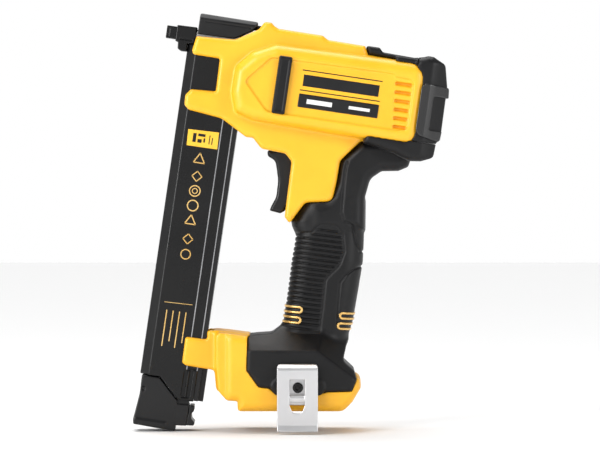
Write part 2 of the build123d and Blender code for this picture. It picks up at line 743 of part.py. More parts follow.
def battery_rails():
    rails = []
    for sign in (-1, 1):
        y0, y1 = sorted((sign * 26.0, sign * 30.0))
        rails.append(block(-42, 16, y0, y1, 2.5, 5))
        y0, y1 = sorted((sign * 28.6, sign * 30.0))
        rails.append(block(-42, 16, y0, y1, 5, 12.9))
    return rails[0] + rails[1], rails[2] + rails[3]


def terminal_block():
    base = block(4, 19.9, -15, 15, 4, 15.4)
    for y in (-10.5, -3.5, 3.5, 10.5):
        base = base - block(3, 16, y - 0.6, y + 0.6, 5, 12)
    return base


def terminals():
    return [block(6, 15.9, y - 0.5, y + 0.5, 6, 11) for y in (-10.5, -3.5, 3.5, 10.5)]


def control_board():
    board = block(-44, 22, -25, 25, 29, 30.6)
    parts = [block(-38, -28, -16, -6, 30.6, 37), block(-20, -6, 6, 20, 30.6, 35),
             block(-38, -28, 6, 16, 30.6, 40)]
    for part in parts:
        board = board + part
    return board - pin_y(24, 42, 4, -40, 40)


def wires():
    left = Spline((12, -4, 30.7), (14, -6, 60), (22, -6, 100), (26, -5, 138), (21, -5, 154.0))
    right = Spline((12, 4, 30.7), (14, 6, 60), (24, 7, 100), (31, 7, 145), (42, 8, 178), (54, 8, 199))
    return [tube(left, 1.1), tube(right, 1.1)]


def housing_screws():
    screws = []
    for x, z, _ in SCREW_SPOTS:
        body = pin_y(x, z, 2.7, SCREW_FACE, SCREW_FACE + 2.4) + pin_y(x, z, 1.35, -8, SCREW_FACE + 1)
        socket = Pos(x, SCREW_FACE + 2, z) * Rot(90, 0, 0) * extrude(RegularPolygon(1.3, 6), amount=0.9, both=True)
        screws.append(body - socket)
    return screws


def write_housing():
    body = housing_halves() - hinge_room() + (insert_seats() - insert_room() - battery_room())
    skin = overmould()
    strip = top_strip()
    bands = band_rooms()
    for name, sign in (("left", -1), ("right", 1)):
        save(f"housing_{name}", side(body, sign))
        save(f"overmould_{name}", side(skin, sign))
    save("top_strips", side(strip, -1), side(strip, 1))
    save("side_bumpers", side_bumper(-1), side_bumper(1))
    save("nameplates", nameplate(-1), nameplate(1))
    save("grip_bands", *[side(band, sign) for band in bands for sign in (-1, 1)])
    save("rear_guard", rear_guard())
    save("neck_seal", neck_seal())
    save("housing_screws", *housing_screws())


def write_nose_and_magazine():
    save("nose_cover", nose_cover())
    save("hinge_pin", hinge_pin())
    save("nose_block", nose_block())
    save("contact_trip", contact_trip())
    save("trip_spring", trip_spring())
    save("driver_guide", driver_guide())
    save("bumper", bumper())
    save("magazine_channel", magazine_channel())
    save("magazine_back", magazine_back())
    save("edge_trims", *edge_trims())
    save("staple_bar", staple_bar())
    save("magazine_tray", magazine_tray())
    save("magazine_latch", magazine_latch())
    pin, cheeks = latch_pin()
    save("latch_pin", pin)
    save("end_cap", end_cap() + cheeks)
    save("release_rods", *release_rods())
    save("pusher", pusher())
    save("roll_spring", roll_spring())
    save("spring_ribbon", spring_ribbon())
    save("magazine_sticker", sticker())


def write_drive():
    save("trigger", trigger())
    save("trigger_spring", trigger_spring())
    save("switch_body", switch_body())
    save("switch_plunger", switch_plunger())
    save("driver_carriage", driver_carriage())
    save("driver_blade", driver_blade())
    save("gas_cylinder", gas_cylinder())
    save("lift_wheel", lift_wheel())
    save("lift_shaft", lift_shaft())
    save("final_gear", final_gear())
    save("idler_gears", idler_gears())
    save("idler_shaft", idler_shaft())
    save("motor_pinion", motor_pinion())
    save("rotor_shaft", rotor_shaft())
    save("motor_rotor", motor_rotor())
    save("motor_can", motor_can())
    save("motor_stator", motor_stator())
    save("motor_fan", motor_fan())
    save("bearings", *bearings())
    save("gear_frame", gear_frame())
    save("gear_cover", gear_cover())


def write_foot():
    save("belt_hook", belt_hook())
    save("hook_screw", hook_screw())
    save("hook_inserts", *hook_inserts())
    save("battery_rails", *battery_rails())
    save("terminal_block", terminal_block())
    save("terminals", *terminals())
    save("control_board", control_board())
    save("wires", *wires())


os.makedirs("parts", exist_ok=True)
write_housing()
write_nose_and_magazine()
write_drive()
write_foot()
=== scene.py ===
import bpy
import json
import math
import numpy as np
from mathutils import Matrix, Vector


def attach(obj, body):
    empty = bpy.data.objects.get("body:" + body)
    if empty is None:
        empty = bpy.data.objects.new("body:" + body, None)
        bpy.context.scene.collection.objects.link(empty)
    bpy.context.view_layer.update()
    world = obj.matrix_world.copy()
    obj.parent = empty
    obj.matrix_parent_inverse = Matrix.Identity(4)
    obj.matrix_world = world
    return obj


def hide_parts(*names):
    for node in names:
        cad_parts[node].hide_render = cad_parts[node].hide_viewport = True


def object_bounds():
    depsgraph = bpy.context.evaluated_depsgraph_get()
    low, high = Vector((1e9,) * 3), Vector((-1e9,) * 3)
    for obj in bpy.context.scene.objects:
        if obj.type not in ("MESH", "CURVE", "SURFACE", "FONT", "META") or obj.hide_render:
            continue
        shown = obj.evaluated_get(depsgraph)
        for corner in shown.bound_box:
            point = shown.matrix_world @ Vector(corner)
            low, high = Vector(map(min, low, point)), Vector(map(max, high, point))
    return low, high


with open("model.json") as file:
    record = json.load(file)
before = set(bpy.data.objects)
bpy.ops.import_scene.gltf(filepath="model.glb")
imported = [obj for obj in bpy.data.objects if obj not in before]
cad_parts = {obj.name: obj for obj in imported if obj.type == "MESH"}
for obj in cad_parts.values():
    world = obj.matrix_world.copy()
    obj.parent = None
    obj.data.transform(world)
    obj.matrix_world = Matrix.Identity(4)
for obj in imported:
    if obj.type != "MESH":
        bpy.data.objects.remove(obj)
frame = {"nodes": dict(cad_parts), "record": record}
first_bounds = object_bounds()

# All shapes below are in millimetres in the row frame. Head shapes use (a, y, b): a runs
# back from the muzzle tip along the drive axis, b runs up square to it.
TILT = math.radians(8.3)
HEAD_X = -95.1
HEAD_Z = 269.1
HEAD_HALF = 35.0
PANEL_DEPTH = 1.4
REAR_HALF = 34.4
MAG_HALF = 15.5
MAG_INSIDE = 13.8
HOOK_SCREW_X = -1.5
HOOK_SCREW_Z = 16.9
SHELL_WALL = 2.6
SKIN_WALL = 4.4
SEAM_GAP = 0.05
SKIN_HALF = 38.6
FOOT_HALF = 37.0
GRIP_CORNER = 14.0
RIB_PITCH = 3.6
LINE_DEPTH = 0.95
LINE_WIDTH = 0.85
VENT_COUNT = 6
VENT_PITCH = 6.1
VENT_HEIGHT = 2.5
SIDES = ((-1, "left"), (1, "right"))


def add_object(name, data):
    made = bpy.data.objects.new(name, data)
    bpy.context.scene.collection.objects.link(made)
    return made


def mesh_object(name, points, faces):
    mesh = bpy.data.meshes.new(name)
    mesh.from_pydata(points, [], faces)
    mesh.update()
    return add_object(name, mesh)


# ------------------------------------------------------------------ camera
def make_camera():
    data = bpy.data.cameras.new("camera")
    camera = add_object("camera", data)
    bpy.context.scene.camera = camera
    data.sensor_width = 36
    data.lens = 253.5
    data.clip_end = 20
    distance = 3.0
    rise = math.radians(1.2)
    target = Vector((0.0, -0.02, 0.1317))
    camera.location = target + Vector((0, -distance * math.cos(rise), distance * math.sin(rise)))
    camera.rotation_euler = (math.pi / 2 - rise, 0, 0)


# ------------------------------------------------------------------ signed distance kit
def hp(a, b, r=0.0):
    """Row-frame x and z of a head place, with the corner radius carried along."""
    x = HEAD_X + a * math.cos(TILT) + b * math.sin(TILT)
    z = HEAD_Z - a * math.sin(TILT) + b * math.cos(TILT)
    return (x, z, r)


def head_ab(x, z):
    """Head place of a row-frame x and z."""
    a = (x - HEAD_X) * math.cos(TILT) - (z - HEAD_Z) * math.sin(TILT)
    b = (x - HEAD_X) * math.sin(TILT) + (z - HEAD_Z) * math.cos(TILT)
    return a, b


def rounded(*corners):
    """Points of a closed outline; each (u, v, r) corner becomes an arc of radius r."""
    points = []
    count = len(corners)
    for i in range(count):
        p = np.array(corners[i][:2], float)
        before = np.array(corners[i - 1][:2], float) - p
        after = np.array(corners[(i + 1) % count][:2], float) - p
        r = corners[i][2]
        if r < 0.05:
            points.append(p)
            continue
        lb = np.linalg.norm(before)
        la = np.linalg.norm(after)
        before = before / lb
        after = after / la
        half = math.acos(np.clip(before @ after, -0.9999, 0.9999)) / 2
        cut = min(r / math.tan(half), 0.49 * lb, 0.49 * la)
        for step in range(6):
            t = step / 5
            q0 = p + before * cut * (1 - t)
            q1 = p + after * cut * t
            points.append(q0 * (1 - t) + q1 * t)
    return np.array(points)


TABLES = {}
CELL = 0.4


def poly(points, u, v):
    """Signed distance to a closed outline, read from a fine table made once for each."""
    if id(points) not in TABLES:
        low = points.min(0) - 12
        size = np.ceil((points.max(0) + 12 - low) / CELL).astype(int) + 1
        us = low[0] + CELL * np.arange(size[0])
        vs = low[1] + CELL * np.arange(size[1])
        TABLES[id(points)] = (low, size, exact_poly(points, us[:, None], vs[None, :]))
    low, size, table = TABLES[id(points)]
    fu = (u - low[0]) / CELL
    fv = (v - low[1]) / CELL
    cu = np.clip(fu, 0, size[0] - 1.001)
    cv = np.clip(fv, 0, size[1] - 1.001)
    iu, iv = np.broadcast_arrays(cu.astype(int), cv.astype(int))
    tu = cu - iu
    tv = cv - iv
    low_v = table[iu, iv] * (1 - tu) + table[iu + 1, iv] * tu
    high_v = table[iu, iv + 1] * (1 - tu) + table[iu + 1, iv + 1] * tu
    return low_v * (1 - tv) + high_v * tv + CELL * np.hypot(fu - cu, fv - cv)


def exact_poly(points, u, v):
    """Signed distance to a closed outline, negative inside."""
    shape = np.broadcast(u, v).shape
    best = np.full(shape, 1e12)
    inside = np.zeros(shape, bool)
    prev = points[-1]
    for p in points:
        eu, ev = p - prev
        wu = u - prev[0]
        wv = v - prev[1]
        length = max(eu * eu + ev * ev, 1e-12)
        t = np.clip((wu * eu + wv * ev) / length, 0, 1)
        best = np.minimum(best, (wu - t * eu) ** 2 + (wv - t * ev) ** 2)
        if ev != 0:
            spans = (prev[1] > v) != (p[1] > v)
            inside ^= spans & (u < prev[0] + eu * wv / ev)
        prev = p
    return np.where(inside, -1, 1) * np.sqrt(best)


def line_distance(points, u, v):
    """Distance to an open chain of runs."""
    best = np.full(np.broadcast(u, v).shape, 1e12)
    for p, q in zip(points[:-1], points[1:]):
        eu, ev = q[0] - p[0], q[1] - p[1]
        t = np.clip(((u - p[0]) * eu + (v - p[1]) * ev) / (eu * eu + ev * ev), 0, 1)
        best = np.minimum(best, (u - p[0] - t * eu) ** 2 + (v - p[1] - t * ev) ** 2)
    return np.sqrt(best)


def smin(a, b, k):
    """Union of two distances with a fillet about k wide."""
    h = np.clip(0.5 + 0.5 * (b - a) / k, 0, 1)
    return b + (a - b) * h - k * h * (1 - h)


def smax(a, b, k):
    """Intersection of two distances with an edge rounded about k wide."""
    return -smin(-a, -b, k)


def ext(flat, y, half, r):
    """Outline distance extruded to +-half with its rims rounded by r."""
    q = flat + r
    w = np.abs(y) - half + r
    return np.minimum(np.maximum(q, w), 0) + np.sqrt(np.maximum(q, 0) ** 2 + np.maximum(w, 0) ** 2) - r


def box(x, y, z, lo, hi, r=0.0):
    """Box between two corners with its edges rounded by r."""
    parts = []
    for value, low, high in ((x, lo[0], hi[0]), (y, lo[1], hi[1]), (z, lo[2], hi[2])):
        parts.append(np.abs(value - (low + high) / 2) - (high - low) / 2 + r)
    outside = sum(np.maximum(q, 0) ** 2 for q in parts)
    inner = np.minimum(np.maximum(np.maximum(parts[0], parts[1]), parts[2]), 0)
    return np.sqrt(outside) + inner - r


def net_vertices(field, active):
    """One vertex in each cell that the surface crosses, at the mean of its edge crossings."""
    total = np.zeros((len(active), 3))
    count = np.zeros(len(active))
    for axis in range(3):
        unit = np.eye(3, dtype=int)[axis]
        others = [o for o in range(3) if o != axis]
        for i in (0, 1):
            for j in (0, 1):
                start = active.copy()
                start[:, others[0]] += i
                start[:, others[1]] += j
                end = start + unit
                v0 = field[tuple(start.T)]
                v1 = field[tuple(end.T)]
                cross = (v0 < 0) != (v1 < 0)
                t = v0[cross] / (v0[cross] - v1[cross])
                total[cross] += start[cross] + t[:, None] * unit
                count[cross] += 1
    return total / count[:, None]


def net_faces(solid, index):
    """One quad round each grid edge whose ends lie on different sides of the surface."""
    faces = []
    for axis in range(3):
        j_axis, k_axis = [o for o in range(3) if o != axis]
        low = np.take(solid, range(solid.shape[axis] - 1), axis)
        high = np.take(solid, range(1, solid.shape[axis]), axis)
        where = np.argwhere(low != high)
        keep = (where[:, j_axis] > 0) & (where[:, k_axis] > 0)
        keep &= where[:, j_axis] < solid.shape[j_axis] - 1
        keep &= where[:, k_axis] < solid.shape[k_axis] - 1
        where = where[keep]
        ring = []
        for dj, dk in ((1, 1), (0, 1), (0, 0), (1, 0)):
            cell = where.copy()
            cell[:, j_axis] -= dj
            cell[:, k_axis] -= dk
            ring.append(index[tuple(cell.T)])
        quads = np.stack(ring, 1)
        flip = low[tuple(where.T)] == (axis == 1)
        quads[flip] = quads[flip][:, ::-1]
        faces.append(quads)
    return np.concatenate(faces)


def settle(field, points, step):
    """Moves points onto the surface along the gradient, in three short steps."""
    probe = 0.04
    furthest = 0.3 * step
    for _ in range(3):
        x, y, z = points.T
        value = field(x, y, z)
        grad = np.stack([(field(x + probe, y, z) - value) / probe,
                         (field(x, y + probe, z) - value) / probe,
                         (field(x, y, z + probe) - value) / probe], 1)
        size = np.maximum((grad ** 2).sum(1), 0.3)
        move = np.clip(value / size, -furthest, furthest)
        points = points - move[:, None] * grad
    return points


def sample(field, lo, hi, step):
    """Field values on a grid, worked out exactly only near the surface."""
    axes = [np.arange(lo[i] + step, hi[i] + 3 * step, 3 * step) for i in range(3)]
    shape = tuple(len(axis) for axis in axes)
    coarse = field(axes[0][:, None, None], axes[1][None, :, None], axes[2][None, None, :])
    coarse = np.broadcast_to(coarse, shape)
    grid = coarse.repeat(3, 0).repeat(3, 1).repeat(3, 2).astype(np.float64)
    reach = 2.7 * step + 0.6
    near = np.argwhere(np.abs(grid) < reach)
    x, y, z = (near * step + np.array(lo, float)).T
    grid[tuple(near.T)] = field(x, y, z)
    return grid


def build(name, field, lo, hi, step, head=False):
    """Mesh of a distance field's zero surface, in the row frame or in head (a, y, b)."""
    grid = sample(field, lo, hi, step)
    solid = grid < 0
    corners = np.zeros(tuple(n - 1 for n in solid.shape), int)
    for i in (0, 1):
        for j in (0, 1):
            for k in (0, 1):
                sx, sy, sz = corners.shape
                corners += solid[i:i + sx, j:j + sy, k:k + sz]
    mask = (corners > 0) & (corners < 8)
    active = np.argwhere(mask)
    index = np.full(corners.shape, -1)
    index[mask] = np.arange(len(active))
    points = net_vertices(grid, active) * step + np.array(lo, float)
    faces = net_faces(solid, index)
    points = settle(field, points, step)
    if head:
        a, y, b = points.T
        x, z, _ = hp(a, b)
        points = np.stack([x, y, z], 1)
    piece = mesh_object(name, points / 1000.0, faces)
    piece.data.polygons.foreach_set("use_smooth", np.ones(len(faces), bool))
    piece.data.update()
    return piece


# ------------------------------------------------------------------ outlines
# Side view in row-frame (x, z), with hp() giving the head's places; BULGE and PANEL
# are in head (a, b). The third number of a corner is its radius.
YELLOW = rounded(
    hp(21.9, -0.5, 1.5), hp(20.3, -10.9, 2), hp(21.6, -13.7, 1.5), hp(40.6, -13.9, 1.5),
    hp(41.1, -37.3, 1.5), hp(23.4, -38.3, 1.5), hp(20, -43, 2.5), hp(20.4, -50.1, 3),
    hp(24, -53, 3), hp(48, -55.8, 12), hp(67.1, -66.4, 3), hp(72, -66.2, 3),
    hp(79, -73, 5), hp(96.5, -73.9, 5), hp(101.6, -79, 4), (-11, 137, 2),
    (-7.5, 132.3, 1.5), (3.8, 147.4, 6), (22.8, 148, 6), (26, 162, 8),
    (28.5, 177, 6), (43.5, 191.2, 5), hp(176, -55, 8), hp(184, -44, 5),
    hp(184, -8, 8), hp(176, 2.9, 5),
    hp(144.5, 3.7, 1), hp(141.5, 9.8, 1), hp(114.6, 10.3, 2), hp(110.6, 12.8, 2.5), hp(78.7, 13.1, 4),
    hp(75.6, 14.6, 1), hp(73.4, 16.6, 2), hp(68.6, 16.6, 2.5), hp(65, 10.6, 2), hp(49.5, 1.0, 6))
BULGE = rounded(
    (57, -50, 6), (52.6, -36, 6), (52.8, -18, 9), (63, -6.5, 8), (79, 1.5, 9), (188.2, 3.0, 13),
    (188.0, -56.4, 11), (70, -53.5, 8))
PANEL = rounded(
    (60.5, -27, 4), (77, -8, 6), (164, -7, 4), (166, -9, 2), (177.5, -9.4, 4),
    (179.4, -13, 3), (179.8, -43, 4), (174, -46.4, 4), (79, -46.4, 6))
NECK = rounded(
    (8, 128, 0), (45.7, 128, 0), (46, 150, 10), (50, 164, 9), (58, 169.4, 5),
    (70, 169.6, 2), (77, 172.5, 3), (78.5, 177, 2), (86, 180, 4), (88, 186, 4), (82, 192, 2),
    (43.5, 191.2, 5), (28.5, 177, 6), (26, 162, 8), (20, 148, 5), (8, 146, 0))
SKIN = rounded(
    (-37.6, 53.2, 3), (-38.1, 28.6, 2), (-29.5, 16.6, 3), (-22.2, 15.8, 2),
    (-17.9, 12.3, 2), (13.1, 11.4, 2), (19.1, 13.1, 1), (36.8, 13.6, 2),
    (40.2, 22, 3), (38.6, 28, 3), (30.6, 35.5, 4), (34.2, 50, 3), (31, 57.5, 3),
    (-12.5, 60.5, 4), (-20, 54.4, 6))
FOOT = rounded(
    (-66, 56.6, 2), (-66, 49.8, 2), (-81.5, 51.9, 2), (-83.9, 33.2, 2.5),
    (-81, 31.3, 2), (-60.5, 28, 3), (-59.1, 15, 6), (-52, 7.6, 4), (-44.1, 7, 1.5),
    (-43.7, 0, 2), (30.3, 0, 7), (36.4, 6.2, 6), (42.2, 16, 5), (41.9, 22, 3),
    (36, 26, 2), (28.5, 34, 2), (29, 50, 3), (-20, 51.5, 2), (-38, 52.8, 4))
# Grip sections: height z, front x, back x, half width.
GRIP_ROWS = np.array([(46, -15.0, 32.5, 17.0), (64, -11.7, 38.0, 17.5), (84, -8.8, 41.5, 18.0),
                      (105, -6.2, 44.9, 18.0), (118, -3.9, 45.5, 17.8), (124.5, -3.2, 45.7, 17.6),
                      (130, -5.6, 45.8, 17.5), (134, -6.4, 45.9, 17.4), (148, 0.0, 46.0, 17.0)])
RIBS = rounded(
    (-25, 53, 1), (13.4, 54.5, 2), (15.6, 71.3, 4), (17.8, 92.8, 6), (27.7, 102.6, 6),
    (31.4, 112, 4), (30.2, 124, 3), (26, 130.4, 3), (14.4, 131.4, 4), (8.7, 125.5, 3), (-25, 123, 1))
# Fine lines and bands on the grip, and the screws of the shells.
SHOULDER = ((34, 176), (32.4, 171), (31.2, 157.6), (29.8, 140), (31.5, 134.5), (37, 131), (40, 118),
            (42.6, 112.4), (52, 111))
HEEL_LINE = ((52, 101.8), (43.7, 101.6), (38.8, 100.2), (32.7, 95.6), (28.6, 90.2), (27, 71), (26.8, 60))
BAND_LINES = ((-20, 72.4, -0.6, 70.9), (-20, 65.2, -1.6, 63.5),
              (30.4, 66.6, 50, 65.2), (28.9, 59.3, 50, 57.8))
HEAD_SCREWS = (hp(84, -66)[:2], hp(150, -49.5)[:2], hp(181.7, -3)[:2])
GRIP_SCREWS = ((14, 138), (10, 92), (-48, 38), (24, 42))


# ------------------------------------------------------------------ housing fields
def from_hook_screw(x, z):
    """Distance from the belt hook screw's axis."""
    return np.hypot(x - HOOK_SCREW_X, z - HOOK_SCREW_Z)


def hook_screw_hole(x, y, z):
    """Hole on both sides of the foot for the belt hook's screw."""
    return np.maximum(from_hook_screw(x, z) - 3.4, 29 - np.abs(y))


def screw_wells(shell, x, y, z, spots):
    """Round wells for the housing screws, open to the right side."""
    for sx, sz in spots:
        well = np.maximum(np.hypot(x - sx, z - sz) - 2.95, 12 - y)
        shell = smax(shell, -well, 0.5)
    return shell


def one_side(shell, y, sign):
    """Keeps one half of a moulding, up to a hairline seam on the middle plane."""
    return smax(shell, SEAM_GAP - sign * y, 0.35)


def foot_roof(x, y, z):
    """Sloping facets over the foot, falling to the sides and to the rear corner."""
    out = np.abs(y) - SKIN_HALF
    across = out * 0.5 + (z - 42.6) * 0.866
    rear = out * 0.5 + ((x - 12.5) * 0.6 + (z - 42.6) * 0.8) * 0.866
    return smax(across, rear, 0.8)


def foot_skin(x, y, z):
    """Black skin that wraps the battery foot."""
    return smax(ext(poly(SKIN, x, z), y, SKIN_HALF, 3.5), foot_roof(x, y, z), 1.5)


def foot_field(x, y, z):
    """Yellow battery foot with its narrow arm to the magazine, sunk where the skin lies."""
    flat = poly(FOOT, x, z)
    wide = smax(ext(flat, y, FOOT_HALF, 6), -59.6 - x, 4)
    step = ext(smax(flat, -53 - x, 3), y, FOOT_HALF, 6)
    arm = ext(flat, y, 19.5, 2.5)
    ledge = smax(wide, np.abs(y) - 33.5, 2)
    foot = smin(smin(step, ledge, 1.5), arm, 4)
    under = np.maximum(poly(SKIN, x, z) + 0.2, -(foot_skin(x, y, z) + 2.2))
    return np.maximum(foot, -under)


def yellow_outer(x, y, z):
    """Yellow head: a slim core, the wide bulge, its flank panels and the rear vents."""
    a, b = head_ab(x, z)
    core = ext(poly(YELLOW, x, z), y, 20, 3.2)
    bulge = ext(poly(BULGE, a, b), y, HEAD_HALF, 8)
    d = smin(core, bulge, 2.2)
    recess = smax(poly(PANEL, a, b), HEAD_HALF - PANEL_DEPTH - np.abs(y), 0.8)
    d = smax(d, -recess, 0.8)
    for index in range(VENT_COUNT):
        top = -12.2 - VENT_PITCH * index
        front = 166.2 + 0.5 * index
        slot = box(a, np.abs(y), b, (front, 30.2, top - VENT_HEIGHT), (178.2, 50, top), 0.8)
        d = smax(d, -slot, 0.8)
    return d


def magazine_room(x, y, z):
    """Room inside the yellow shells for the magazine, the nose and the jam cover."""
    a, b = head_ab(x, z)
    room = box(a, y, b, (0, -15.7, -290), (61.2, 15.7, 20))
    cover = box(a, y, b, (15, -15.7, 0.6), (67.6, 15.7, 30))
    heel = box(a, y, b, (55, -9.4, -290), (64.2, 9.4, -200))
    return np.minimum(np.minimum(room, cover), heel)


def housing_field(sign):
    """Field of one yellow shell: hollow, with the openings its neighbours need."""
    def field(x, y, z):
        head = yellow_outer(x, y, z)
        outer = np.minimum(head, foot_field(x, y, z))
        shell = np.maximum(outer, -(outer + SHELL_WALL))
        a, b = head_ab(x, z)
        shell = smax(shell, -magazine_room(x, y, z), 0.4)
        dock = box(x, y, z, (-90, -30, -20), (20, 30, 13), 1)
        shell = smax(shell, -dock, 0.6)
        trigger_slot = box(x, y, z, (-40, -7.6, 138.2), (-4, 7.6, 188), 0.5)
        shell = smax(shell, -trigger_slot, 0.5)
        hinge = np.hypot(a - 71, b - 11) - 3.8
        lane = box(a, y, b, (55, -6.5, 5.5), (71, 6.5, 30))
        hinge = np.maximum(np.minimum(hinge, lane), np.abs(y) - 6.5)
        shell = smax(shell, -hinge, 0.3)
        shell = np.maximum(shell, -hook_screw_hole(x, y, z))
        if sign > 0:
            shell = screw_wells(shell, x, y, z, HEAD_SCREWS + GRIP_SCREWS)
        return one_side(shell, y, sign)
    return field


def grip_field(x, y, z):
    """Grip as a rounded section that changes with height."""
    rows = GRIP_ROWS
    front = np.interp(z, rows[:, 0], rows[:, 1])
    back = np.interp(z, rows[:, 0], rows[:, 2])
    half = np.interp(z, rows[:, 0], rows[:, 3])
    qx = np.abs(x - (front + back) / 2) - (back - front) / 2 + GRIP_CORNER
    qy = np.abs(y) - half + GRIP_CORNER
    outside = np.sqrt(np.maximum(qx, 0) ** 2 + np.maximum(qy, 0) ** 2)
    section = np.minimum(np.maximum(qx, qy), 0) + outside - GRIP_CORNER
    return smax(section, np.abs(z - 98) - 51, 3)


def groove(distance):
    """Depth of a fine line at a distance from its middle."""
    return LINE_DEPTH * np.exp(-(distance / LINE_WIDTH) ** 2)


def grip_details(x, y, z):
    """How far ribs and lines sink into the grip's skin."""
    panel = poly(RIBS, x, z)
    inside = np.clip(-panel / 1.2, 0, 1)
    phase = np.sin(math.pi * (z + 0.12 * x) / RIB_PITCH)
    ribs = inside * (0.1 + 1.1 * np.exp(-(phase / 0.5) ** 2))
    sides = np.clip((np.abs(y) - 4) / 4, 0, 1)
    border = 0.9 * np.exp(-((panel - 0.5) / 0.75) ** 2) * sides
    lines = np.minimum(line_distance(SHOULDER, x, z), line_distance(HEEL_LINE, x, z))
    return ribs + border + groove(lines)


def skin_neck(x, y, z):
    """Black neck between grip and head."""
    return ext(poly(NECK, x, z), y, 18.6, 7)


def skin_outer(x, y, z):
    """Outside of the black overmould: grip, neck, foot and the belt hook's plinth."""
    grip = grip_field(x, y, z) + grip_details(x, y, z)
    neck = skin_neck(x, y, z) + groove(line_distance(SHOULDER, x, z))
    foot = foot_skin(x, y, z)
    plinth = np.hypot(np.maximum(np.abs(x + 1.3) - 13, 0), z - 17.2) - 6.2
    boss = ext(plinth, y, SKIN_HALF + 1, 1.2)
    d = smin(grip, neck, 4)
    return smin(smin(d, foot, 3.5), boss, 1)


def overmould_field(sign):
    """Field of one overmould half, held just clear of the yellow shells."""
    def field(x, y, z):
        outer = skin_outer(x, y, z)
        shell = np.maximum(outer, -(outer + SKIN_WALL))
        shell = smax(shell, 0.12 - poly(YELLOW, x, z), 0.5)
        shell = smax(shell, 0.03 - foot_field(x, y, z), 0.3)
        shell = np.maximum(shell, -hook_screw_hole(x, y, z))
        if sign > 0:
            shell = screw_wells(shell, x, y, z, GRIP_SCREWS)
        return one_side(shell, y, sign)
    return field


def band_field(x, y, z):
    """Four flat loops let into the grip's skin."""
    grip = grip_field(x, y, z)
    d = np.full(np.broadcast(x, y, z).shape, 1e3)
    for x0, z0, x1, z1 in BAND_LINES:
        flat = line_distance(((x0, z0), (x1, z1)), x, z) - 2.7
        loop = np.maximum(flat, -(flat + 1.6))
        layer = smax(grip - 0.75, -(grip + 0.6), 0.2)
        d = np.minimum(d, smax(layer, loop, 0.4))
    return smax(d, 0.4 - np.abs(y), 0.2)


# ------------------------------------------------------------------ other housing parts
# STRIP, WRAP and TRIGGER are in row-frame (x, z), the others in head (a, b).
STRIP = rounded(
    hp(145, 3.9, 1), hp(142, 10.2, 1.5), hp(151.8, 10.2, 2), hp(154.6, 7.3, 2),
    hp(184, 6.4, 1), hp(184, -2, 1), hp(176, 3.0, 3))
WRAP = rounded(
    hp(177, 2, 2), hp(180, 6.4, 3), hp(186.7, 9.0, 2), hp(190.5, 8.9, 2), hp(199.6, 4.4, 4),
    hp(203.2, -11, 2), hp(203.6, -48.8, 2), hp(201.0, -51, 2), hp(200.4, -61.8, 4), hp(191.8, -65.6, 3),
    hp(183.6, -66.6, 3), hp(172, -62.8, 8), hp(149.5, -58.6, 1), hp(149.5, -50, 1), hp(178, -50, 1),
    hp(178, -2, 1))
BRACKET = rounded(
    (184.9, -13.2, 3), (187.6, -10.2, 2), (204.6, -11.4, 2), (205.2, -18.0, 1), (203.6, -46, 2),
    (202.6, -50.4, 1.5), (187.5, -47.6, 3), (184.9, -43.8, 2))
COVER = rounded(
    (22.3, 1.2, 1), (22.3, 16.2, 1.5), (64.2, 15.7, 1.5), (63.2, 11.9, 1.5),
    (60.6, 9.0, 2), (48.8, 1.6, 3))
NOSE = rounded(
    (7.2, -5.9, 0.6), (9.2, -6.2, 0.4), (9.6, -11, 1.4), (12, -12.4, 1),
    (16.2, -12.2, 0.6), (16.2, -6.3, 0.4), (21.4, -6.2, 0.6), (21.4, 5.9, 0.6), (7.2, 5.6, 0.6))
CAP = rounded(
    (18, -244.3, 0.8), (30.6, -244.3, 1), (45.6, -259.2, 1), (46.8, -277, 0.6),
    (47, -281, 1), (16.8, -280.1, 1), (16.2, -276.5, 1), (18.3, -258, 12))
LATCH = rounded(
    (47.6, -269.2, 0.4), (54.7, -269.2, 0.3), (54.7, -261.3, 0.4), (58.2, -261.0, 0.8),
    (58.4, -265.0, 0.8), (56.9, -266.6, 1), (57.4, -270.6, 2), (60.0, -272.8, 0.8), (59.7, -275.2, 1),
    (48.2, -276.4, 1))
CHEEK = rounded((44.6, -261.4, 0.6), (54.4, -261.0, 0.4), (54.4, -276.0, 0.4), (46.4, -276.8, 0.6))
TRIGGER = rounded(
    (-23.4, 184.4, 2), (-23, 180, 3), (-17.5, 177, 8), (-15.6, 163, 20),
    (-17, 151, 12), (-20.5, 144.5, 5), (-21.8, 141.3, 1), (-14, 139.3, 1),
    (-11, 141, 1), (-5.2, 150, 2), (-3.2, 170, 2), (-6, 185, 2))


def rear_corner(a, y, grow):
    """Flank and two facets that bring the head's rear corners in, seen from above."""
    flank = np.abs(y) - REAR_HALF - grow
    first = (a - 190.4) * 0.447 + (np.abs(y) - REAR_HALF) * 0.894 - grow
    second = (a - 195.4) * 0.64 + (np.abs(y) - REAR_HALF + 2.5) * 0.768 - grow
    return smax(smax(flank, first, 0.5), second, 0.8)


